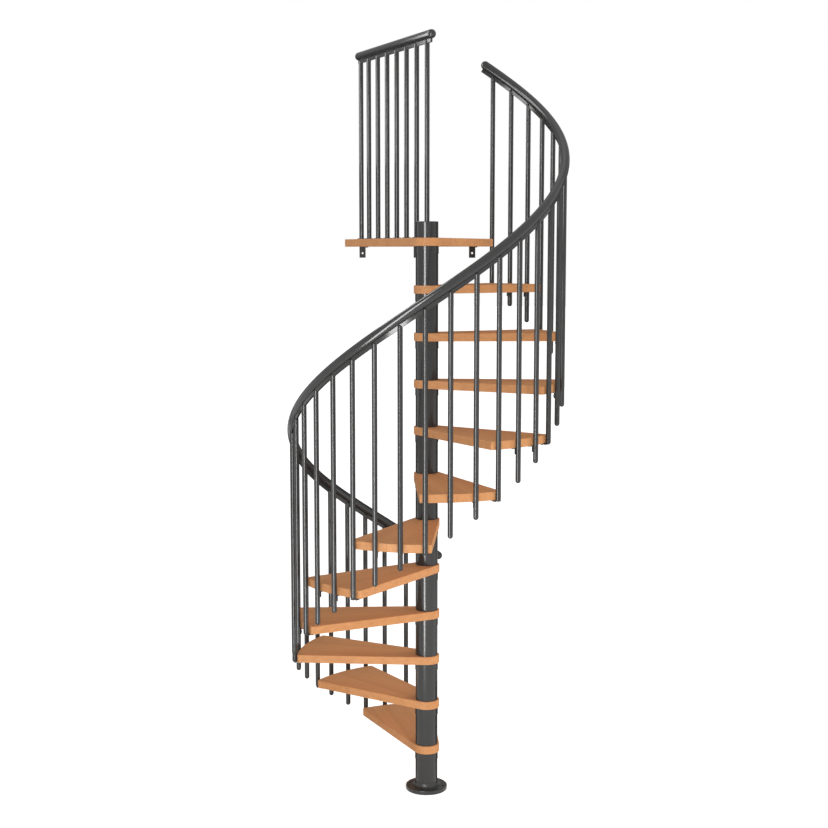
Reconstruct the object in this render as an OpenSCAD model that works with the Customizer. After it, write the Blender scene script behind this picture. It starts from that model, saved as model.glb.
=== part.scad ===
// Spiral staircase: eleven wedge treads and a landing clamped on a central column,
// with a ring of round balusters, a helical handrail and a straight landing rail.
// Millimetres, +Z up, origin at the centre of the base flange on the floor.

/* [Stair] */
// Height from one tread to the next
riser = 208.5; // [190:0.5:225]
// Height of the first tread's top over the floor
first_rise = 213.5; // [180:0.5:225]
// Turn from one tread to the next, in degrees
tread_turn = 29.9; // [28:0.1:30]
// Radius of the circle that the balusters stand on
baluster_circle_r = 600; // [560:5:700]

/* [Treads] */
// Thickness of the treads and the landing
tread_t = 36; // [30:1:45]
// Radius of the outer end of a tread
tread_r = 586; // [540:1:588]
// Radius of the round end of a tread at the column
hub_r = 58; // [56:1:62]
// Radius of the rounded outer corners in plan
corner_r = 10; // [5:1:20]
// How far a tread reaches before its first long baluster, in degrees
front_reach = 2.4; // [1.8:0.1:3]
// How far a tread reaches past its last long baluster, in degrees
back_reach = 2.6; // [1.8:0.1:3]

/* [Landing] */
// Distance from the column axis to the straight back edge
landing_depth = 568; // [540:1:600]
// How far the landing reaches before the last long baluster, in degrees
landing_reach = 1; // [0.5:0.1:1.5]
// Radius of the landing's rounded corners in plan
landing_corner_r = 5; // [3:1:8]
// Direction of the landing's balustrade, in degrees
landing_rail_angle = 116; // [112:0.5:120]
// Height of the landing rail's centre over the landing
landing_rail_h = 870; // [800:5:1000]

/* [Column] */
// Outer radius of the column tubes
column_r = 50; // [45:1:52]
// Wall thickness of the column tubes
column_wall = 3; // [2:0.5:5]
// Height of the collar under each tread
collar_h = 34; // [20:1:40]
// How far a collar stands out from its tube
collar_step = 2; // [1:0.5:4]
// Height of the column head above the landing
head_h = 68; // [40:1:90]
// Radius of the base flange
flange_r = 94; // [88:1:110]
// Thickness of the base flange
flange_t = 18; // [12:1:20]
// Radius of the circle of floor bolts
flange_bolt_circle_r = 76; // [72:1:80]
// Radius of a floor bolt hole
flange_hole_r = 5.5; // [4.5:0.5:6.5]

/* [Balusters and handrail] */
// Radius of a baluster
rod_r = 11; // [8:0.5:11.5]
// Turn of the two middle balusters of a tread away from even spacing, towards its corners, in degrees
clip_spread = 0.2; // [0:0.05:0.4]
// Height of the handrail's centre over the foot of a baluster
rail_over_rod_foot = 1027; // [930:1:1100]
// Radius of the handrail tube
rail_r = 20; // [18:1:25]
// Thickness of the flat bar under the handrail
bar_t = 10; // [8:1:12]
// How far the flat bar reaches below the handrail's centre
bar_depth = 35; // [32:1:40]

/* [Hidden] */
$fn = 64;

wood = "#CE915F";
steel = "#464646";

tread_count = 11;
rods_per_tread = 3;
start_angle = 90;
rod_count = tread_count * rods_per_tread + 1;
rod_turn = tread_turn / rods_per_tread;
rod_rise = riser / rods_per_tread;
landing_bottom = tread_bottom(tread_count + 1);
landing_top = landing_bottom + tread_t;

// centre post and the bores that it fills
post_r = 21;
post_bore_r = 21.5;

// base flange
flange_hole_turn = 75;
flange_holes = 4;
weld_r = 18;

// helical handrail, counted in baluster steps along the stair
rail_first = -0.55;
rail_last = 33.4;
rail_step = 0.5;
rail_sides = 24;
rail_slope = atan(rod_rise / (rod_turn * PI / 180 * baluster_circle_r));
seat_depth = sqrt(rail_r * rail_r - bar_t * bar_t / 4);

// balusters
slot_gap = 0.2;
rod_hang = 5;
rod_top_drop = 24;

// brackets under the treads
plate_t = 5;
plate_reach = 34;
plate_w = 27;
clip_t = 3;
clip_w = 16;
clip_drop = 25;
clip_reach = 35;

// landing balustrade
landing_rod_gap = 105;
landing_rods = 8;
landing_last_rod = 722;
landing_rail_start = -42;
landing_rail_end = 743;
rosette_r = 20;
rosette_t = 4;
landing_rail_z = landing_top + landing_rail_h;
landing_slot_depth = 17;

// wall brackets at the landing's back edge
wall_leg_w = 30;
wall_leg_h = 53;
wall_leg_t = 4;
wall_hole_r = 5;
wall_hole_drop = 31;
wall_bracket_reach = 48;
wall_bracket_first = -462;
wall_bracket_gap = 272;
wall_bracket_count = 3;
landing_back_angle = 75;

// direction of baluster number k, counted from the floor
function rod_angle(k) = start_angle + k * rod_turn;
// place of baluster number k along the stair, in baluster steps
function rod_step(k) = k + clip_spread / rod_turn * [0, -1, 1][k % rods_per_tread];
// height of the underside of tread number n over the floor
function tread_bottom(n) = first_rise - tread_t + (n - 1) * riser;
// height of the line of baluster feet at baluster number k
function rod_foot(k) = tread_bottom(0) + k * rod_rise;
// point at a radius and a direction
function polar(r, a) = [r * cos(a), r * sin(a)];
// direction in which a straight side touches the hub, for a corner at radius r and direction a
function touch(r, a, side) = a + side * acos(hub_r / r);
// centre of a rounded corner where a side meets the outer arc
function corner_centre_angle(t, side) = t - side * acos((hub_r - corner_r) / (tread_r - corner_r));
// points of an arc
function arc(c, r, a0, a1, n) = [for (i = [0:n]) c + polar(r, a0 + (a1 - a0) * i / n)];

// ---- column ----

module tube(r, wall, h) {
    difference() {
        cylinder(r = r, h = h);
        translate([0, 0, -1]) cylinder(r = r - wall, h = h + 2);
    }
}

module base_flange() {
    color(steel) difference() {
        union() {
            rotate_extrude() polygon(concat(
                [[post_bore_r, 0], [flange_r - 1.5, 0], [flange_r, 1.5], [flange_r, flange_t - 2.5]],
                arc([flange_r - 2.5, flange_t - 2.5], 2.5, 0, 90, 6),
                arc([column_r + weld_r, flange_t + weld_r], weld_r, 270, 180, 8),
                [[post_bore_r, flange_t + weld_r]]));
        }
        for (i = [0:flange_holes - 1])
            rotate([0, 0, flange_hole_turn + i * 360 / flange_holes])
                translate([flange_bolt_circle_r, 0, -1]) cylinder(r = flange_hole_r, h = flange_t + 2);
    }
}

module centre_post() {
    color(steel) cylinder(r = post_r, h = landing_top + head_h);
}

// one tube from the flange to the first tread, and one between each tread and the next
module spacer_tubes() {
    color(steel) for (n = [0:tread_count]) {
        z0 = n == 0 ? flange_t + weld_r : tread_bottom(n) + tread_t;
        translate([0, 0, z0]) tube(column_r, column_wall, tread_bottom(n + 1) - z0);
    }
}

module spacer_collars() {
    color(steel) for (n = [1:tread_count + 1])
        translate([0, 0, tread_bottom(n) - collar_h]) tube(column_r + collar_step, collar_step, collar_h);
}

module column_head() {
    color(steel) translate([0, 0, landing_top]) tube(column_r, column_wall, head_h);
}

module column_cap() {
    color(steel) translate([0, 0, landing_top + head_h]) cylinder(r = column_r, h = 3);
}

// ---- treads and landing ----

// the round end at the column, from where one side leaves it to where the other arrives
function hub_arc(t0, t1) = arc([0, 0], hub_r, t1, t0 + 360, 48);

// outline of a tread between two corner directions, its sides touching the hub circle
function tread_outline(a0, a1) =
    let (t0 = touch(tread_r, a0, -1), t1 = touch(tread_r, a1, 1),
        c0 = corner_centre_angle(t0, -1), c1 = corner_centre_angle(t1, 1))
    concat(hub_arc(t0, t1),
        arc(polar(tread_r - corner_r, c0), corner_r, t0, c0, 6),
        [for (i = [1:23]) polar(tread_r, c0 + (c1 - c0) * i / 24)],
        arc(polar(tread_r - corner_r, c1), corner_r, c1, t1, 6));

// a board of the given outline, bored for the centre post
module board(outline) {
    difference() {
        linear_extrude(tread_t) polygon(outline);
        translate([0, 0, -1]) cylinder(r = post_bore_r, h = tread_t + 2);
    }
}

module tread(n) {
    a0 = rod_angle((n - 1) * rods_per_tread) - front_reach;
    a1 = rod_angle(n * rods_per_tread) + back_reach;
    color(wood) translate([0, 0, tread_bottom(n)]) board(tread_outline(a0, a1));
}

// where a side that touches the hub in direction t meets the straight back edge
function back_corner(t) =
    let (d = landing_back_angle - t, s = (landing_depth - hub_r * cos(d)) / sin(d))
    polar(hub_r, t) + s * [-sin(t), cos(t)];

module landing() {
    t0 = touch(tread_r, rod_angle(rod_count - 1) - 360 - landing_reach, -1);
    t1 = landing_rail_angle + 90;
    right = back_corner(t0);
    left = back_corner(t1);
    side = t0 + 90;
    back = landing_back_angle + 90;
    r = landing_corner_r;
    cut_right = r * tan((back - side) / 2);
    cut_left = r * tan((180 - back + landing_rail_angle) / 2);
    color(wood) translate([0, 0, landing_bottom]) board(concat(
        hub_arc(t0, t1),
        arc(right - cut_right * polar(1, side) + r * polar(1, side + 90), r, t0, landing_back_angle, 8),
        arc(left - cut_left * polar(1, back) - r * polar(1, landing_back_angle),
            r, landing_back_angle, t1, 10)));
}

// ---- balusters ----

// a round rod with domed ends, notched at the top to fit over the flat bar
module notched_rod(length, slope, notch, flat_foot) {
    difference() {
        union() {
            if (flat_foot) cylinder(r = rod_r, h = length - rod_r);
            if (!flat_foot) {
                translate([0, 0, rod_r]) cylinder(r = rod_r, h = length - 2 * rod_r);
                translate([0, 0, rod_r]) sphere(r = rod_r);
            }
            translate([0, 0, length - rod_r]) sphere(r = rod_r);
        }
        translate([0, 0, length - notch]) rotate([slope, 0, 0])
            translate([-bar_t / 2 - slot_gap, -2 * rod_r, -slot_gap])
                cube([bar_t + 2 * slot_gap, 4 * rod_r, 3 * rod_r]);
    }
}

// baluster number k of the stair
module stair_rod(k) {
    s = rod_step(k);
    rotate([0, 0, rod_angle(s)]) translate([baluster_circle_r, 0, rod_foot(s) - rod_hang])
        notched_rod(rail_over_rod_foot - rod_top_drop + rod_hang, rail_slope,
            bar_depth / cos(rail_slope) - rod_top_drop, false);
}

module balusters(n) {
    color(steel) for (k = [n * rods_per_tread - 2:n * rods_per_tread]) stair_rod(k);
}

module start_baluster() {
    top = rod_foot(0) + rail_over_rod_foot - rod_top_drop;
    color(steel) rotate([0, 0, start_angle]) translate([baluster_circle_r, 0, rosette_t])
        notched_rod(top - rosette_t, rail_slope, bar_depth / cos(rail_slope) - rod_top_drop, true);
}

module start_foot() {
    color(steel) rotate([0, 0, start_angle]) translate([baluster_circle_r, 0, 0])
        cylinder(r = rosette_r, h = rosette_t);
}

// plate under the back corner of each tread, notched at its end to hold the baluster there
module corner_plates() {
    color(steel) for (n = [1:tread_count])
        rotate([0, 0, rod_angle(n * rods_per_tread)])
            translate([baluster_circle_r, 0, tread_bottom(n) - plate_t])
                difference() {
                    translate([-plate_reach, -plate_w / 2, 0]) cube([plate_reach, plate_w, plate_t]);
                    translate([0, 0, -1]) cylinder(r = rod_r + slot_gap, h = plate_t + 2);
                }
}

// angle clip under a tread: one leg below the tread, one leg down the baluster
module clip() {
    translate([baluster_circle_r - rod_r - clip_reach, -clip_w / 2, -clip_t])
        cube([clip_reach, clip_w, clip_t]);
    translate([baluster_circle_r - rod_r - clip_t, -clip_w / 2, -clip_drop])
        cube([clip_t, clip_w, clip_drop]);
}

module clip_brackets() {
    color(steel) for (n = [1:tread_count])
        for (k = [n * rods_per_tread - 2, n * rods_per_tread - 1])
            rotate([0, 0, rod_angle(rod_step(k))]) translate([0, 0, tread_bottom(n)]) clip();
}

// ---- helical handrail ----

// a section, as [outward, upward] points, placed square to the helix at baluster step k
function rail_ring(section, k) =
    let (a = rod_angle(k), r = baluster_circle_r)
    [for (p = section) [
        (r + p[0]) * cos(a) + p[1] * sin(rail_slope) * sin(a),
        (r + p[0]) * sin(a) - p[1] * sin(rail_slope) * cos(a),
        rod_foot(k) + rail_over_rod_foot + p[1] * cos(rail_slope)]];

// sweeps a section along the helix; lean picks which way the side faces are split
module rail_sweep(section, k0, k1, lean) {
    steps = round((k1 - k0) / rail_step);
    n = len(section);
    points = [for (i = [0:steps]) each rail_ring(section, k0 + (k1 - k0) * i / steps)];
    sides = [for (i = [0:steps - 1]) for (j = [0:n - 1])
        let (a = i * n + j, b = i * n + (j + 1) % n, c = a + n, d = b + n)
        each (lean ? [[a, c, b], [b, c, d]] : [[a, c, d], [a, d, b]])];
    ends = [[for (j = [0:n - 1]) j], [for (j = [n - 1:-1:0]) steps * n + j]];
    polyhedron(points, concat(sides, ends), convexity = 10);
}

// round rail section with a flat seat for the bar
function rail_section() =
    let (a0 = -90 + asin(bar_t / 2 / rail_r))
    [for (i = [0:rail_sides - 1]) polar(rail_r, a0 + (270 - asin(bar_t / 2 / rail_r) - a0) * i / (rail_sides - 1))];

function bar_section() =
    [[-bar_t / 2, -bar_depth], [bar_t / 2, -bar_depth], [bar_t / 2, -seat_depth], [-bar_t / 2, -seat_depth]];

module handrail() {
    color(steel) rail_sweep(rail_section(), rail_first, rail_last, false);
}

module handrail_bar() {
    color(steel) rail_sweep(bar_section(), rail_first, rail_last, true);
}

// half a ball closing one end of the rail
module rail_cap() {
    difference() {
        sphere(r = rail_r);
        translate([-rail_r, 0, -rail_r]) cube(2 * rail_r);
    }
}

module handrail_caps() {
    color(steel) {
        rotate([0, 0, rod_angle(rail_first)])
            translate([baluster_circle_r, 0, rod_foot(rail_first) + rail_over_rod_foot])
                rotate([rail_slope, 0, 0]) rail_cap();
        rotate([0, 0, rod_angle(rail_last)])
            translate([baluster_circle_r, 0, rod_foot(rail_last) + rail_over_rod_foot])
                rotate([rail_slope, 0, 0]) mirror([0, 1, 0]) rail_cap();
    }
}

// ---- landing balustrade ----

function landing_rod_at(i) = i < landing_rods - 1 ? i * landing_rod_gap : landing_last_rod;

module landing_balusters() {
    top = landing_rail_z - bar_depth + landing_slot_depth;
    color(steel) for (i = [0:landing_rods - 1]) {
        foot = i == 0 ? landing_top + head_h + 3 : landing_top + rosette_t;
        rotate([0, 0, landing_rail_angle - 90]) translate([0, landing_rod_at(i), foot])
            notched_rod(top - foot, 0, landing_slot_depth, true);
    }
}

module landing_rosettes() {
    color(steel) for (i = [1:landing_rods - 1])
        rotate([0, 0, landing_rail_angle - 90]) translate([0, landing_rod_at(i), landing_top])
            cylinder(r = rosette_r, h = rosette_t);
}

module landing_handrail() {
    length = landing_rail_end - landing_rail_start;
    color(steel) rotate([0, 0, landing_rail_angle - 90]) translate([0, landing_rail_start, landing_rail_z])
        difference() {
            rotate([-90, 0, 0]) cylinder(r = rail_r, h = length);
            translate([-rail_r, -1, -2 * rail_r]) cube([2 * rail_r, length + 2, 2 * rail_r - seat_depth]);
        }
}

module landing_handrail_bar() {
    length = landing_rail_end - landing_rail_start;
    color(steel) rotate([0, 0, landing_rail_angle - 90])
        translate([-bar_t / 2, landing_rail_start, landing_rail_z - bar_depth])
            cube([bar_t, length, bar_depth - seat_depth]);
}

module landing_handrail_caps() {
    color(steel) rotate([0, 0, landing_rail_angle - 90]) {
        translate([0, landing_rail_start, landing_rail_z]) rail_cap();
        translate([0, landing_rail_end, landing_rail_z]) mirror([0, 1, 0]) rail_cap();
    }
}

// angle brackets that fix the landing's back edge to the floor above
module wall_brackets() {
    color(steel) rotate([0, 0, landing_back_angle]) for (i = [0:wall_bracket_count - 1])
        translate([landing_depth - wall_bracket_reach, -wall_bracket_first - i * wall_bracket_gap, landing_bottom])
        difference() {
            union() {
                translate([0, -wall_leg_w / 2, -wall_leg_t])
                    cube([wall_bracket_reach, wall_leg_w, wall_leg_t]);
                translate([0, -wall_leg_w / 2, -wall_leg_h])
                    cube([wall_leg_t, wall_leg_w, wall_leg_h]);
            }
            translate([-1, 0, -wall_hole_drop]) rotate([0, 90, 0])
                cylinder(r = wall_hole_r, h = wall_leg_t + 2);
        }
}

base_flange();
centre_post();
spacer_tubes();
spacer_collars();
column_head();
column_cap();
tread(1);  // tread_01
tread(2);  // tread_02
tread(3);  // tread_03
tread(4);  // tread_04
tread(5);  // tread_05
tread(6);  // tread_06
tread(7);  // tread_07
tread(8);  // tread_08
tread(9);  // tread_09
tread(10);  // tread_10
tread(11);  // tread_11
landing();
start_baluster();
start_foot();
balusters(1);  // balusters_01
balusters(2);  // balusters_02
balusters(3);  // balusters_03
balusters(4);  // balusters_04
balusters(5);  // balusters_05
balusters(6);  // balusters_06
balusters(7);  // balusters_07
balusters(8);  // balusters_08
balusters(9);  // balusters_09
balusters(10);  // balusters_10
balusters(11);  // balusters_11
corner_plates();
clip_brackets();
handrail();
handrail_bar();
handrail_caps();
landing_balusters();
landing_rosettes();
landing_handrail();
landing_handrail_bar();
landing_handrail_caps();
wall_brackets();
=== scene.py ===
"""Looks of a spiral staircase: beech treads on a dark steel column, with round balusters and rails."""

import math
import random

import bpy
from mathutils import Matrix, Vector


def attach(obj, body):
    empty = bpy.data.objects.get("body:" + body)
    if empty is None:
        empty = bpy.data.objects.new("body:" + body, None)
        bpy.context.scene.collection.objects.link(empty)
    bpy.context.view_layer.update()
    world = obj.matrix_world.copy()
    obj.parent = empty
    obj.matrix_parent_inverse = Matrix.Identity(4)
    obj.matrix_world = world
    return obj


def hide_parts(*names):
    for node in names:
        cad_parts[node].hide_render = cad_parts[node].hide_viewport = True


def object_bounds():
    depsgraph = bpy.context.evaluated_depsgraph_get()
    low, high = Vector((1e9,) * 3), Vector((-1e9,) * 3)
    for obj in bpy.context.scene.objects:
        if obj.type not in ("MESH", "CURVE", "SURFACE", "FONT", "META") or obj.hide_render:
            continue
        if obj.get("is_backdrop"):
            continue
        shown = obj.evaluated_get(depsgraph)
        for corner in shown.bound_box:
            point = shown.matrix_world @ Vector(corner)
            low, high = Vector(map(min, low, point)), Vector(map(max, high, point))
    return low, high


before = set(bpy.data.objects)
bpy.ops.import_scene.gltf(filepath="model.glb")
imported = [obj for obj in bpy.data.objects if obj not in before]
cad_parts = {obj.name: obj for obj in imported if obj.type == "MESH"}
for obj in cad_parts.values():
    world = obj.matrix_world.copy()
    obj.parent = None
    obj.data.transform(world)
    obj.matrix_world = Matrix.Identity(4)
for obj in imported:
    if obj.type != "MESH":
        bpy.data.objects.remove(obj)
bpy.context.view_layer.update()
BODY = "root"

# ---- dimensions of the stair, in metres and degrees, as in the CAD model ----
# Angles are seen from above, from +X towards +Y. Balusters are counted from the floor, from 0.

RISER = 0.2085
FIRST_RISE = 0.2135  # floor to the top of the first tread
TREAD_TURN = 29.9
CIRCLE_R = 0.6  # the circle that the balusters and the handrail follow
TREAD_COUNT = 11
RODS_PER_TREAD = 3
ROD_COUNT = TREAD_COUNT * RODS_PER_TREAD + 1
START_ANGLE = 90.0
ROD_TURN = TREAD_TURN / RODS_PER_TREAD
ROD_RISE = RISER / RODS_PER_TREAD
ROD_R = 0.011
CLIP_SPREAD = 0.2  # turn of a clipped baluster towards its tread's corner

TREAD_T = 0.036
TREAD_R = 0.586
HUB_R = 0.058
CORNER_R = 0.010
FRONT_REACH = 2.4  # a tread's front side, before its first baluster
BACK_REACH = 2.6  # a tread's back side, past its last baluster

COLUMN_R = 0.050
COLLAR_H = 0.034
COLLAR_R = 0.052
HEAD_H = 0.068  # column above the landing, under the lid

LANDING_DEPTH = 0.568  # column's axis to the landing's back edge
LANDING_BACK_ANGLE = 75.0  # direction square to that edge
LANDING_REACH = 1.0  # the landing's right side, before the last baluster
LANDING_CORNER_R = 0.005
LANDING_RAIL_ANGLE = 116.0  # direction of the landing's rail from the column
LANDING_RAIL_H = 0.870
LANDING_RAIL_START = -0.042  # along the rail, from the column's axis
LANDING_RAIL_END = 0.743
LANDING_ROD_GAP = 0.105
LANDING_RODS = 8
LANDING_LAST_ROD = 0.722  # along the rail, from the column's axis

RAIL_R = 0.020
TUBE_R = 0.0196  # the tube as drawn, which stays inside the CAD model's faceted one
RAIL_OVER_FOOT = 1.027  # handrail's centre above the line of baluster feet
RAIL_FIRST = -0.55  # ends of the handrail, as baluster numbers
RAIL_LAST = 33.4
BAR_T = 0.010
BAR_DEPTH = 0.035
RAIL_SLOPE = math.degrees(math.atan(ROD_RISE / (math.radians(ROD_TURN) * CIRCLE_R)))
SEAT_DEPTH = math.sqrt(RAIL_R ** 2 - BAR_T ** 2 / 4)  # bar's top, below the rail's centre

PLATE_T = 0.005
PLATE_REACH = 0.034
CLIP_T = 0.003
CLIP_DROP = 0.025
CLIP_REACH = 0.035
ROSETTE_R = 0.020
ROSETTE_T = 0.004
WALL_BRACKET_REACH = 0.048
WALL_BRACKET_FIRST = -0.462
WALL_BRACKET_GAP = 0.272
WALL_LEG_T = 0.004


def tread_bottom(n):
    """Height of the underside of tread n; the landing is the last one."""
    return FIRST_RISE - TREAD_T + (n - 1) * RISER


def rod_foot(k):
    """Height of the line of baluster feet at baluster k."""
    return tread_bottom(0) + k * ROD_RISE


LANDING_BOTTOM = tread_bottom(TREAD_COUNT + 1)
LANDING_TOP = LANDING_BOTTOM + TREAD_T
LANDING_RAIL_Z = LANDING_TOP + LANDING_RAIL_H


# ---- plane geometry ----

def polar(r, angle):
    return Vector((r * math.cos(math.radians(angle)), r * math.sin(math.radians(angle))))


def arc(centre, r, a0, a1, n):
    """Points of an arc from direction a0 to a1, in n steps."""
    return [centre + polar(r, a0 + (a1 - a0) * i / n) for i in range(n + 1)]


def rod_angle(k):
    """Direction of baluster k, counted from the floor."""
    return START_ANGLE + k * ROD_TURN


def clipped_angle(k):
    """Direction of baluster k, one of the two that a tread holds with clips."""
    return rod_angle(k) + (-CLIP_SPREAD if k % RODS_PER_TREAD == 1 else CLIP_SPREAD)


def acosd(x):
    return math.degrees(math.acos(x))


def station(angle, r, z):
    """Place at a radius and height, with X outward and Y along the climb."""
    turn = Matrix.Rotation(math.radians(angle), 4, "Z")
    return Matrix.Translation((0, 0, z)) @ turn @ Matrix.Translation((r, 0, 0))


# ---- meshes ----

ROUND_SIDES = 48
COLUMN_SIDES = 96
EDGE_STEPS = 4


class Solid:
    """Vertices and faces gathered from several closed shapes."""

    def __init__(self):
        self.verts, self.faces = [], []

    def add(self, verts, faces, place=Matrix()):
        """Adds one closed shape, moved to its place."""
        first = len(self.verts)
        self.verts += [place @ Vector(v) for v in verts]
        flip = place.to_3x3().determinant() < 0
        for face in faces:
            face = [first + i for i in face]
            self.faces.append(face[::-1] if flip else face)

    def rings(self, rings, place=Matrix()):
        """A solid made of rings of points, with a flat face at each end."""
        n = len(rings[0])
        faces = []
        for i in range(len(rings) - 1):
            for j in range(n):
                a, b = i * n + j, i * n + (j + 1) % n
                faces.append((a, b, b + n, a + n))
        faces.append(tuple(range(n - 1, -1, -1)))
        faces.append(tuple(range((len(rings) - 1) * n, len(rings) * n)))
        self.add([p for ring in rings for p in ring], faces, place)

    def turned(self, profile, place=Matrix(), n=ROUND_SIDES):
        """A profile of (radius, height) points, bottom to top, turned about Z."""
        self.rings([[(*polar(r, 360 * i / n), z) for i in range(n)] for r, z in profile], place)

    def piece(self, name, material, slot, replaces=(), sharp=30):
        """One smooth shaded object that rides on the stair; edges over sharp degrees stay crisp."""
        mesh = bpy.data.meshes.new(name)
        mesh.from_pydata([tuple(v) for v in self.verts], [], self.faces)
        mesh.validate()
        mesh.shade_smooth()
        mesh.set_sharp_from_angle(angle=math.radians(sharp))
        mesh.materials.append(material)
        piece = bpy.data.objects.new(name, mesh)
        bpy.context.scene.collection.objects.link(piece)
        piece.modifiers.new("flat_faces", "WEIGHTED_NORMAL").keep_sharp = True
        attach(piece, BODY)
        if replaces:
            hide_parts(*replaces)
        return piece


def round_edge(r, z, size, turn):
    """Profile points of a rounded rim that reaches radius r and height z; turn is up or down."""
    points = []
    for i in range(EDGE_STEPS + 1):
        a = math.radians(90 * i / EDGE_STEPS)
        if turn == "up":
            points.append((r - size * (1 - math.cos(a)), z - size * (1 - math.sin(a))))
        else:
            points.append((r - size * (1 - math.sin(a)), z + size * (1 - math.cos(a))))
    return points


# ---- materials ----

# Colours are linear. Noise scales are in features a metre, as (along, across, up) for wood.
STEEL_TONE = 0.031
SCREW_TONE = 0.025
STEEL_BLUE = 0.98  # share of blue in the steel's grey
STEEL_SPECULAR = 0.4
STEEL_ROUGHNESS = 0.155
FLANGE_ROUGHNESS = 0.32
ROUGHNESS_SPREAD = 0.015
MOTTLE_SCALE = 14
MOTTLE = 0.03  # lighter and darker by this share
SATIN_SCALE = 60
PEEL_SCALE = 400
PEEL_STRENGTH = 0.003
PEEL_DEPTH = 0.0001

STAVE_W = 0.048
STAVE_SHIFT = 7.0  # most metres that a stave is moved in the grain pattern
BEECH_DARK = (0.57, 0.255, 0.100, 1)
BEECH_LIGHT = (0.72, 0.350, 0.150, 1)
BEECH_FLECK = (0.36, 0.135, 0.055, 1)
BEECH_SPECULAR = 0.12
BEECH_ROUGHNESS = (0.52, 0.60)
WANDER_SCALE = (1.6, 9, 9)
WANDER = 0.045  # how far growth rings wander sideways, in metres
RING_STRETCH = 0.015  # share of the way along the grain that rings count, so they run long
RING_SCALE = (60, 170, 60)
RING_RANGE = (0.35, 0.65)
FIBRE_SCALE = (9, 650, 650)
FLECK_SCALE = (170, 1500, 1500)
FLECK_RANGE = (0.62, 0.74)
RING_WEIGHT = 0.5  # shares of rings, fibres and staves in the tone of the wood
FIBRE_WEIGHT = 0.35
STAVE_WEIGHT = 0.45
TONE_RANGE = (-1.2, 1.2)
FLECK_COLOUR = 0.55
FLECK_DEPTH = 0.6
GRAIN_STRENGTH = 0.12
GRAIN_DEPTH = 0.0002

NOISE_RANGE = (0.3, 0.7)  # where most of a noise's values lie
MIX_A, MIX_B, MIX_RESULT = 6, 7, 2  # colour sockets of a Mix node, by number because names repeat


class Shader:
    """A Principled material, with short calls for its nodes."""

    def __init__(self, name):
        self.material = bpy.data.materials.new(name)
        self.material.use_nodes = True
        self.tree = self.material.node_tree
        self.out = self.tree.nodes["Principled BSDF"]

    def set(self, **values):
        """Sets the shader's own sockets to constants."""
        for name, value in values.items():
            self.out.inputs[name.replace("_", " ")].default_value = value

    def link(self, socket, name):
        self.tree.links.new(socket, self.out.inputs[name])

    def feed(self, socket, value):
        """Links a socket to another one, or sets it to a constant."""
        if isinstance(value, bpy.types.NodeSocket):
            self.tree.links.new(value, socket)
        else:
            socket.default_value = value

    def node(self, kind, *values, **named):
        """A new node; values feed its first inputs in order, and named ones by name."""
        node = self.tree.nodes.new("ShaderNode" + kind)
        for socket, value in zip(node.inputs, values):
            self.feed(socket, value)
        for name, value in named.items():
            self.feed(node.inputs[name.replace("_", " ")], value)
        return node

    def math(self, operation, a, b=0.0):
        node = self.node("Math", a, b)
        node.operation = operation
        return node.outputs[0]

    def noise(self, vector, scale, detail):
        """Noise of a vector that is first scaled along each axis."""
        scaled = self.node("VectorMath", vector, scale)
        scaled.operation = "MULTIPLY"
        return self.node("TexNoise", Vector=scaled.outputs[0], Scale=1.0, Detail=detail).outputs["Fac"]

    def ramp(self, value, span, low, high):
        """Maps a value from the span to low and high, and clamps it there."""
        node = self.node("MapRange", Value=value, From_Min=span[0], From_Max=span[1],
                         To_Min=low, To_Max=high)
        return node.outputs["Result"]

    def vector(self, x, y, z):
        return self.node("CombineXYZ", x, y, z).outputs[0]

    def blend(self, factor, a, b, mode="MIX"):
        node = self.tree.nodes.new("ShaderNodeMix")
        node.data_type = "RGBA"
        node.blend_type = mode
        self.feed(node.inputs["Factor"], factor)
        self.feed(node.inputs[MIX_A], a)
        self.feed(node.inputs[MIX_B], b)
        return node.outputs[MIX_RESULT]

    def bump(self, height, strength, distance):
        node = self.node("Bump", Height=height, Strength=strength, Distance=distance)
        self.link(node.outputs["Normal"], "Normal")


def steel_material(name, tone, roughness=STEEL_ROUGHNESS):
    """Dark grey powder coat: satin gloss with a very fine orange peel and faint mottling."""
    s = Shader(name)
    s.set(Specular_IOR_Level=STEEL_SPECULAR)
    coords = s.node("TexCoord").outputs["Object"]
    mottle = s.noise(coords, [MOTTLE_SCALE] * 3, detail=3)
    light = s.ramp(mottle, NOISE_RANGE, 1 - MOTTLE, 1 + MOTTLE)
    grey = s.node("CombineColor", Red=light, Green=light, Blue=light).outputs[0]
    s.link(s.blend(1.0, (tone, tone, tone * STEEL_BLUE, 1), grey, "MULTIPLY"), "Base Color")
    satin = s.noise(coords, [SATIN_SCALE] * 3, detail=3)
    s.link(s.ramp(satin, NOISE_RANGE, roughness, roughness + ROUGHNESS_SPREAD), "Roughness")
    s.bump(s.noise(coords, [PEEL_SCALE] * 3, detail=1), PEEL_STRENGTH, PEEL_DEPTH)
    return s.material


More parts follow.
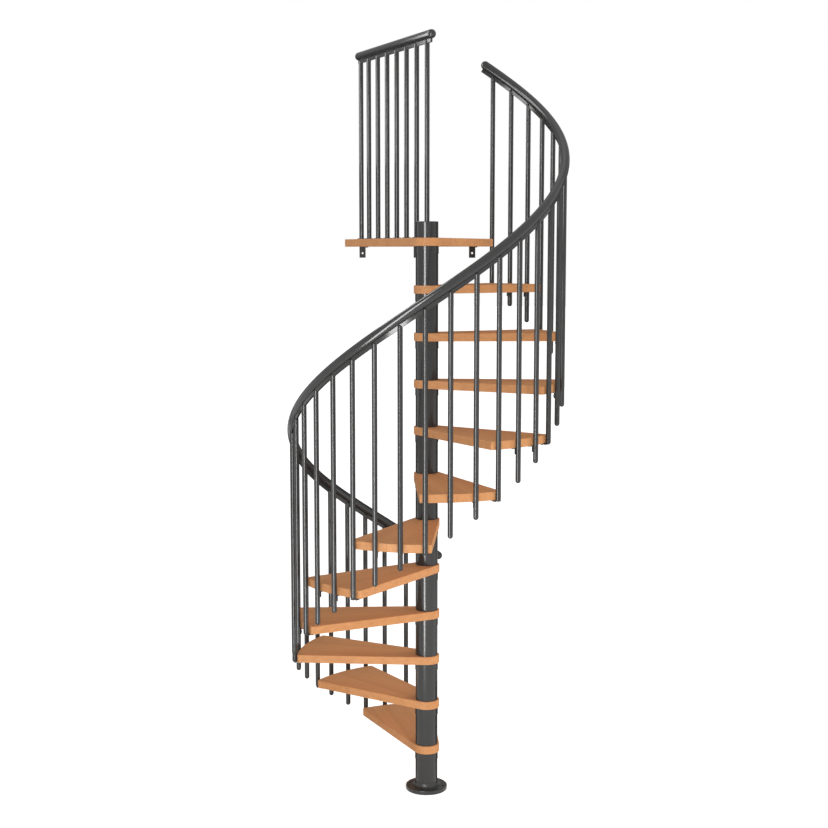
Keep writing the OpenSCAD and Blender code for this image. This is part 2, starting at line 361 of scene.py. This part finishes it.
def beech_material():
    """Lacquered beech glued up from staves: long fibres, soft growth rings and short dark flecks."""
    s = Shader("beech")
    grain = s.node("Attribute")
    grain.attribute_name = "grain"
    along, across, up = s.node("SeparateXYZ", grain.outputs["Vector"]).outputs
    white = s.node("TexWhiteNoise")
    white.noise_dimensions = "1D"
    s.feed(white.inputs["W"], s.math("FLOOR", s.math("DIVIDE", across, STAVE_W)))
    stave = white.outputs["Value"]
    shift = s.math("MULTIPLY", stave, STAVE_SHIFT)
    moved = s.vector(s.math("ADD", along, shift), across, s.math("ADD", up, shift))
    wander = s.noise(moved, WANDER_SCALE, detail=2)
    bent = s.vector(s.math("MULTIPLY", along, RING_STRETCH),
                    s.math("ADD", across, s.math("MULTIPLY", wander, WANDER)),
                    s.math("ADD", up, shift))
    rings = s.noise(bent, RING_SCALE, detail=2)
    fibre = s.noise(moved, FIBRE_SCALE, detail=3)
    fleck = s.noise(moved, FLECK_SCALE, detail=1)
    tone = s.math("ADD", s.ramp(rings, RING_RANGE, -RING_WEIGHT, RING_WEIGHT),
                  s.ramp(fibre, NOISE_RANGE, -FIBRE_WEIGHT, FIBRE_WEIGHT))
    tone = s.math("ADD", tone, s.ramp(stave, (0, 1), -STAVE_WEIGHT, STAVE_WEIGHT))
    colour = s.blend(s.ramp(tone, TONE_RANGE, 0, 1), BEECH_DARK, BEECH_LIGHT)
    colour = s.blend(s.ramp(fleck, FLECK_RANGE, 0, FLECK_COLOUR), colour, BEECH_FLECK)
    s.link(colour, "Base Color")
    s.link(s.ramp(fibre, NOISE_RANGE, *BEECH_ROUGHNESS), "Roughness")
    s.set(Specular_IOR_Level=BEECH_SPECULAR)
    pits = s.ramp(fleck, FLECK_RANGE, 0, FLECK_DEPTH)
    s.bump(s.math("SUBTRACT", fibre, pits), GRAIN_STRENGTH, GRAIN_DEPTH)
    return s.material


STEEL = steel_material("dark_steel", STEEL_TONE)
SCREW_STEEL = steel_material("dark_steel_fixings", SCREW_TONE)
FLANGE_STEEL = steel_material("dark_steel_flange", STEEL_TONE, FLANGE_ROUGHNESS)
BEECH = beech_material()


# ---- treads and landing ----

BOARD_EDGE = 0.0028
BOARD_SHARP = 35  # edges that turn by more degrees than this stay crisp
HUB_STEPS = 64
OUTER_STEPS = 40
CORNER_STEPS = 8
SHARP_CORNER_STEPS = 12  # the landing's left corner turns further
GRAIN_SEED = 12
GRAIN_SPREAD = 5  # metres over which boards are spread in the grain pattern


def hub_arc(t0, t1, inset):
    """The hub's round end, between the directions in which the two sides touch it."""
    return arc(Vector((0, 0)), HUB_R - inset, t1, t0 + 360, HUB_STEPS)


def tread_sides(n):
    """Directions in which tread n's two sides touch the hub."""
    half = acosd(HUB_R / TREAD_R)
    front = rod_angle((n - 1) * RODS_PER_TREAD) - FRONT_REACH
    back = rod_angle(n * RODS_PER_TREAD) + BACK_REACH
    return front - half, back + half


def tread_outline(n, inset):
    """Plan of tread n, shrunk by inset."""
    t0, t1 = tread_sides(n)
    half = acosd((HUB_R - CORNER_R) / (TREAD_R - CORNER_R))
    c0, c1 = t0 + half, t1 - half
    r = CORNER_R - inset
    return (hub_arc(t0, t1, inset)
            + arc(polar(TREAD_R - CORNER_R, c0), r, t0, c0, CORNER_STEPS)
            + arc(Vector((0, 0)), TREAD_R - inset, c0, c1, OUTER_STEPS)[1:-1]
            + arc(polar(TREAD_R - CORNER_R, c1), r, c1, t1, CORNER_STEPS))


def back_corner(t):
    """Where a side that touches the hub in direction t meets the landing's straight back edge."""
    turn = math.radians(LANDING_BACK_ANGLE - t)
    along = (LANDING_DEPTH - HUB_R * math.cos(turn)) / math.sin(turn)
    return polar(HUB_R, t) + along * polar(1, t + 90)


def landing_outline(inset):
    """Plan of the landing, shrunk by inset."""
    t0 = rod_angle(ROD_COUNT - 1) - 360 - LANDING_REACH - acosd(HUB_R / TREAD_R)
    t1 = LANDING_RAIL_ANGLE + 90
    back = LANDING_BACK_ANGLE + 90
    size = LANDING_CORNER_R
    cut_right = size * math.tan(math.radians((back - t0 - 90) / 2))
    cut_left = size * math.tan(math.radians((180 - back + LANDING_RAIL_ANGLE) / 2))
    right = back_corner(t0) - cut_right * polar(1, t0 + 90) + size * polar(1, t0 + 180)
    left = back_corner(t1) - cut_left * polar(1, back) - size * polar(1, LANDING_BACK_ANGLE)
    r = size - inset
    return (hub_arc(t0, t1, inset)
            + arc(right, r, t0, LANDING_BACK_ANGLE, CORNER_STEPS)
            + arc(left, r, LANDING_BACK_ANGLE, t1, SHARP_CORNER_STEPS))


def board(name, outline, bottom, grain_angle):
    """A board with rounded edges and grain along grain_angle; outline(inset) gives its plan."""
    rings = []
    for i in range(EDGE_STEPS + 1):
        a = math.radians(90 * i / EDGE_STEPS)
        rings.append((BOARD_EDGE * (1 - math.sin(a)), BOARD_EDGE * (1 - math.cos(a))))
    rings += [(inset, TREAD_T - z) for inset, z in reversed(rings)]
    solid = Solid()
    solid.rings([[p.to_3d() + Vector((0, 0, bottom + z)) for p in outline(inset)]
                 for inset, z in rings])
    piece = solid.piece(name + "_board", BEECH, "beech", (name,), BOARD_SHARP)
    turn = Matrix.Rotation(math.radians(-grain_angle), 4, "Z")
    offset = Vector([chance.uniform(0, GRAIN_SPREAD) for _ in range(3)])
    grain = piece.data.attributes.new("grain", "FLOAT_VECTOR", "POINT")
    for point, vertex in zip(grain.data, piece.data.vertices):
        point.vector = turn @ vertex.co + offset


chance = random.Random(GRAIN_SEED)
for n in range(1, TREAD_COUNT + 1):
    middle = rod_angle((n - 0.5) * RODS_PER_TREAD)
    board(f"tread_{n:02d}", lambda inset: tread_outline(n, inset), tread_bottom(n), middle)
board("landing", landing_outline, LANDING_BOTTOM, LANDING_BACK_ANGLE)


# ---- column ----

COLLAR_EDGE = 0.0008
LID_SEAM = 0.0006  # how far the foot of the lid is set back
LID_T = 0.003
LID_EDGE = 0.0018

for n in range(1, TREAD_COUNT + 2):
    collar = Solid()
    low = tread_bottom(n) - COLLAR_H
    collar.turned([(COLUMN_R, low)] + round_edge(COLLAR_R, low, COLLAR_EDGE, "down")
                  + [(COLLAR_R, low + COLLAR_H), (COLUMN_R, low + COLLAR_H)], n=COLUMN_SIDES)
    collar.piece(f"collar_{n:02d}", STEEL, "dark_steel", ("spacer_collars",))

lid = Solid()
head_top = LANDING_TOP + HEAD_H
lid.turned([(COLUMN_R - LID_SEAM, head_top)]
           + round_edge(COLUMN_R, head_top + LID_T, LID_EDGE, "up"), n=COLUMN_SIDES)
lid.piece("column_lid", STEEL, "dark_steel", ("column_cap",))


# ---- handrails ----

RAIL_STEPS = 340
BAR_EDGE = 0.0012
BAR_EDGE_STEPS = 3
CAP_SEAM = 0.0006
CAP_SEAM_W = 0.0012
DOME_STEPS = 14
DOME_END = 86  # degrees, just short of the tip
TUBE_SHARP = 50
BAR_SHARP = 40
CAP_SHARP = 40


def rail_place(k):
    """Section plane of the helix at baluster step k: X outward, Y up, Z back along the rail."""
    a, slope = math.radians(rod_angle(k)), math.radians(RAIL_SLOPE)
    outward = Vector((math.cos(a), math.sin(a), 0))
    upward = Vector((math.sin(slope) * math.sin(a), -math.sin(slope) * math.cos(a), math.cos(slope)))
    centre = CIRCLE_R * outward + Vector((0, 0, rod_foot(k) + RAIL_OVER_FOOT))
    place = Matrix((outward, upward, outward.cross(upward))).transposed().to_4x4()
    return Matrix.Translation(centre) @ place


def landing_place(distance):
    """The same for the landing's rail, at a distance from the column's axis."""
    a = math.radians(LANDING_RAIL_ANGLE)
    outward = Vector((math.sin(a), -math.cos(a), 0))
    upward = Vector((0, 0, 1))
    centre = (distance * polar(1, LANDING_RAIL_ANGLE)).to_3d() + Vector((0, 0, LANDING_RAIL_Z))
    place = Matrix((outward, upward, outward.cross(upward))).transposed().to_4x4()
    return Matrix.Translation(centre) @ place


def circle_section(r):
    return [(*polar(r, 360 * i / ROUND_SIDES), 0) for i in range(ROUND_SIDES)]


def bar_section():
    """The flat bar's outline, with rounded lower edges."""
    x, y = BAR_T / 2 - BAR_EDGE, -BAR_DEPTH + BAR_EDGE
    left = arc(Vector((-x, y)), BAR_EDGE, 180, 270, BAR_EDGE_STEPS)
    right = arc(Vector((x, y)), BAR_EDGE, 270, 360, BAR_EDGE_STEPS)
    top = [Vector((BAR_T / 2, -SEAT_DEPTH)), Vector((-BAR_T / 2, -SEAT_DEPTH))]
    return [p.to_3d() for p in left + right + top]


def cap_profile():
    """A half ball on a short recessed neck, as (radius, height)."""
    neck = [(TUBE_R - CAP_SEAM, 0), (TUBE_R - CAP_SEAM, CAP_SEAM_W)]
    dome = []
    for i in range(DOME_STEPS + 1):
        a = math.radians(DOME_END * i / DOME_STEPS)
        dome.append((TUBE_R * math.cos(a), max(CAP_SEAM_W, TUBE_R * math.sin(a))))
    return neck + dome


steps = [RAIL_FIRST + (RAIL_LAST - RAIL_FIRST) * i / RAIL_STEPS for i in range(RAIL_STEPS + 1)]
for name, node, section, sharp in (
        ("handrail_tube", "handrail", circle_section(TUBE_R), TUBE_SHARP),
        ("handrail_flat", "handrail_bar", bar_section(), BAR_SHARP)):
    sweep = Solid()
    sweep.rings([[rail_place(k) @ Vector(p) for p in section] for k in steps])
    sweep.piece(name, STEEL, "dark_steel", (node,), sharp)
    straight = Solid()
    straight.rings([[landing_place(d) @ Vector(p) for p in section]
                    for d in (LANDING_RAIL_START, LANDING_RAIL_END)])
    straight.piece("landing_" + name, STEEL, "dark_steel", ("landing_" + node,), sharp)

BACKWARD = Matrix.Rotation(math.radians(180), 4, "Y")
for name, first, last in (
        ("handrail_caps", rail_place(RAIL_FIRST), rail_place(RAIL_LAST)),
        ("landing_handrail_caps", landing_place(LANDING_RAIL_START), landing_place(LANDING_RAIL_END))):
    caps = Solid()
    caps.turned(cap_profile(), first)
    caps.turned(cap_profile(), last @ BACKWARD)
    caps.piece(name + "_domed", STEEL, "dark_steel", (name,), CAP_SHARP)


# ---- rosettes and fixings ----

ROSETTE_EDGE = 0.0016
HEX_SIDES = 6
SCREW_SIDES = 24
# Head of a screw, as shares of its radius and height; then the socket's half width and depth.
SCREW_PROFILE = ((0.96, 0), (1, 0.25), (0.9, 0.62), (0.68, 0.92), (0.55, 1))
SOCKET_R = 0.42
SOCKET_DEPTH = 0.6
# Screw heads, as (radius, height).
CLIP_ROD_SCREW = (0.0055, 0.0036)
CLIP_WOOD_SCREW = (0.0050, 0.0028)
PLATE_SCREW = (0.0042, 0.0024)
BRACKET_SCREW = (0.0055, 0.0030)
# Places of screws, as shares of the length of the leg or plate that they are in.
CLIP_SCREW_AT = 0.6
PLATE_SCREW_AT = 0.78
BRACKET_SCREWS_AT = (0.35, 0.72)
PLATE_SCREW_SIDE = 0.0075  # to each side of the plate's middle, in metres
WALL_BRACKETS = 3


def rosette(place, solid):
    rim = round_edge(ROSETTE_R, ROSETTE_T, ROSETTE_EDGE, "up")
    solid.turned([(ROSETTE_R, 0)] + rim, place)


foot = Solid()
rosette(station(START_ANGLE, CIRCLE_R, 0), foot)
foot.piece("start_rosette", STEEL, "dark_steel", ("start_foot",))
feet = Solid()
for i in range(1, LANDING_RODS):
    distance = i * LANDING_ROD_GAP if i < LANDING_RODS - 1 else LANDING_LAST_ROD
    rosette(station(LANDING_RAIL_ANGLE, distance, LANDING_TOP), feet)
feet.piece("landing_rosettes_turned", STEEL, "dark_steel", ("landing_rosettes",))


def screw(solid, place, size):
    """A button-head screw with a hexagon socket, standing on the XY plane."""
    r, h = size
    angles = [360 * i / SCREW_SIDES for i in range(SCREW_SIDES)]
    rings = [[(*polar(out * r, a), z * h) for a in angles] for out, z in SCREW_PROFILE]
    for z in (h, h - SOCKET_DEPTH * h):
        ring = []
        for a in angles:
            to_flat = math.radians(a % (360 / HEX_SIDES) - 180 / HEX_SIDES)
            ring.append((*polar(SOCKET_R * r / math.cos(to_flat), a), z))
        rings.append(ring)
    solid.rings(rings, place)


DOWN = Matrix.Rotation(math.radians(180), 4, "X")
INWARD = Matrix.Rotation(math.radians(-90), 4, "Y")

clip_screws = Solid()
plate_screws = Solid()
for n in range(1, TREAD_COUNT + 1):
    bottom = tread_bottom(n)
    leg = CIRCLE_R - ROD_R - CLIP_T
    for k in (n * RODS_PER_TREAD - 2, n * RODS_PER_TREAD - 1):
        angle = clipped_angle(k)
        on_rod = station(angle, leg, bottom - CLIP_SCREW_AT * CLIP_DROP)
        on_wood = station(angle, leg - CLIP_SCREW_AT * CLIP_REACH, bottom - CLIP_T)
        screw(clip_screws, on_rod @ INWARD, CLIP_ROD_SCREW)
        screw(clip_screws, on_wood @ DOWN, CLIP_WOOD_SCREW)
    corner = rod_angle(n * RODS_PER_TREAD)
    plate = station(corner, CIRCLE_R - PLATE_SCREW_AT * PLATE_REACH, bottom - PLATE_T)
    for side in (-PLATE_SCREW_SIDE, PLATE_SCREW_SIDE):
        screw(plate_screws, plate @ Matrix.Translation((0, side, 0)) @ DOWN, PLATE_SCREW)
clip_screws.piece("clip_screws", SCREW_STEEL, "dark_steel")
plate_screws.piece("plate_screws", SCREW_STEEL, "dark_steel")

bracket_screws = Solid()
for i in range(WALL_BRACKETS):
    along = Matrix.Translation((0, -WALL_BRACKET_FIRST - i * WALL_BRACKET_GAP, 0))
    for share in BRACKET_SCREWS_AT:
        depth = LANDING_DEPTH - share * WALL_BRACKET_REACH
        place = station(LANDING_BACK_ANGLE, depth, LANDING_BOTTOM - WALL_LEG_T)
        screw(bracket_screws, place @ along @ DOWN, BRACKET_SCREW)
bracket_screws.piece("bracket_screws", SCREW_STEEL, "dark_steel")


# ---- CAD nodes that keep their shape ----

for name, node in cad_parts.items():
    if name.startswith("tread_") or name == "landing":
        material = BEECH
    elif name == "base_flange":
        material = FLANGE_STEEL
    else:
        material = STEEL
    node.data.materials.clear()
    node.data.materials.append(material)


# ---- stage ----

FLOOR_SIZE = 60
FLOOR_TONE = 0.85
FLOOR_GLOW = 0.62  # seen by the camera and in reflections, so the floor shows white
WORLD_LIGHT = 0.68

# Cards stand behind the stair and lie on the floor, where only reflections see them.
CARD_COUNT = 4
CARD_FIRST = 14  # direction of the first card's edge
CARD_TURN = 36
CARD_R = 1.8
CARD_H = 5.0
CARD_BLACK = 0.12
CARD_GREY = 0.50
CARD_GREY_Z = (3.0, 3.4)
CARD_FOOT_Z = (0.6, 0.9)
FLOOR_CARD_R = 0.12
FLOOR_CARD_Z = 0.001

# Soft lights that aren't seen in reflections: name, place, aim, size, watts.
SOFT_LIGHTS = (("key", (0.9, -5.75, 2.3), (0, 0, 1.4), 2.6, 128),
               ("fill", (3.4, 0.6, 2.4), (0, 0, 1.2), 2.0, 38),
               ("low", (-0.3, -2.4, 0.5), (0, 0, 0.3), 0.8, 5.5))
# Strips that are seen only in reflections: name, place, aim, width, height, watts.
STRIP_LIGHTS = (("strip", (-0.805, -2.154, 1.75), (0, 0, 1.75), 0.52, 3.5, 108),
                ("side_high", (-1.0, 0.41, 3.6), (0, 0.41, 3.6), 0.7, 1.4, 24),
                ("side_low", (-1.0, 0.41, 1.5), (0, 0.41, 1.5), 0.3, 2.7, 2.2))

CAMERA_PLACE = (-0.0043, -6.266, 2.437)
CAMERA_DOWN = 6.461
CAMERA_TURN = 0.482
CAMERA_LENS = 61.52
CAMERA_SENSOR = 36


def stage_mesh(name, corners):
    mesh = bpy.data.meshes.new(name)
    mesh.from_pydata(corners, [], [(0, 1, 2, 3)])
    obj = bpy.data.objects.new(name, mesh)
    bpy.context.scene.collection.objects.link(obj)
    obj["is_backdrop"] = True
    return obj


def seen_directly(tree):
    """Light Path factor that is 1 for camera, glossy and transmission rays."""
    path = tree.nodes.new("ShaderNodeLightPath")
    seen = path.outputs["Is Camera Ray"]
    for name in ("Is Glossy Ray", "Is Transmission Ray"):
        most = tree.nodes.new("ShaderNodeMath")
        most.operation = "MAXIMUM"
        tree.links.new(seen, most.inputs[0])
        tree.links.new(path.outputs[name], most.inputs[1])
        seen = most.outputs[0]
    return seen


def matt(name, tone):
    """A matt grey material without gloss, which may glow white."""
    s = Shader(name)
    s.set(Base_Color=(tone, tone, tone, 1), Roughness=1.0, Specular_IOR_Level=0.0,
          Emission_Color=(1, 1, 1, 1))
    return s


def floor():
    """The floor, which shows white and keeps the stair's shadow."""
    size = FLOOR_SIZE
    obj = stage_mesh("floor", [(-size, -size, 0), (size, -size, 0), (size, size, 0), (-size, size, 0)])
    s = matt("floor_white", FLOOR_TONE)
    s.link(s.math("MULTIPLY", seen_directly(s.tree), FLOOR_GLOW), "Emission Strength")
    obj.data.materials.append(s.material)


def flag(name, corners, foot_glow):
    """A card that only darkens reflections: nearly black, grey at the top, with its own foot glow."""
    obj = stage_mesh(name, corners)
    s = matt(name, 0)
    height = s.node("SeparateXYZ", s.node("TexCoord").outputs["Object"]).outputs["Z"]
    top = s.ramp(height, CARD_GREY_Z, CARD_BLACK, CARD_GREY)
    foot = s.ramp(height, CARD_FOOT_Z, foot_glow, CARD_BLACK)
    s.link(s.math("MAXIMUM", top, foot), "Emission Strength")
    obj.data.materials.append(s.material)
    obj.visible_camera = False
    obj.visible_diffuse = False
    obj.visible_shadow = False


def area_light(name, place, target, width, height, power):
    data = bpy.data.lights.new(name, "AREA")
    data.shape = "RECTANGLE"
    data.size = width
    data.size_y = height
    data.energy = power
    light = bpy.data.objects.new(name, data)
    light.location = place
    aim = (Vector(target) - Vector(place)).to_track_quat("-Z", "Y")
    light.rotation_euler = aim.to_euler()
    light.visible_camera = False
    bpy.context.scene.collection.objects.link(light)
    return light


floor()
for i in range(CARD_COUNT):
    start = CARD_FIRST + CARD_TURN * i
    end = start + CARD_TURN
    a, b = polar(CARD_R, start), polar(CARD_R, end)
    c, d = polar(FLOOR_CARD_R, start), polar(FLOOR_CARD_R, end)
    flag(f"card_{i}", [(*a, 0), (*b, 0), (*b, CARD_H), (*a, CARD_H)], CARD_GREY)
    flag(f"floor_card_{i}", [(*p, FLOOR_CARD_Z) for p in (c, a, b, d)], CARD_BLACK)

world = bpy.data.worlds.new("studio")
bpy.context.scene.world = world
world.use_nodes = True
background = world.node_tree.nodes["Background"]
background.inputs["Color"].default_value = (1, 1, 1, 1)
strength = world.node_tree.nodes.new("ShaderNodeMapRange")
strength.inputs["To Min"].default_value = WORLD_LIGHT
strength.inputs["To Max"].default_value = 1.0
world.node_tree.links.new(seen_directly(world.node_tree), strength.inputs["Value"])
world.node_tree.links.new(strength.outputs["Result"], background.inputs["Strength"])

for name, place, aim, size, power in SOFT_LIGHTS:
    area_light(name, place, aim, size, size, power).visible_glossy = False
for name, place, aim, width, height, power in STRIP_LIGHTS:
    area_light(name, place, aim, width, height, power).visible_diffuse = False

camera_data = bpy.data.cameras.new("camera")
camera = bpy.data.objects.new("camera", camera_data)
camera_data.lens = CAMERA_LENS
camera_data.sensor_width = CAMERA_SENSOR
camera.location = CAMERA_PLACE
camera.rotation_euler = (math.radians(90 - CAMERA_DOWN), 0, math.radians(CAMERA_TURN))
bpy.context.scene.collection.objects.link(camera)
bpy.context.scene.camera = camera
bpy.context.scene.view_settings.view_transform = "Standard"

low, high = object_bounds()
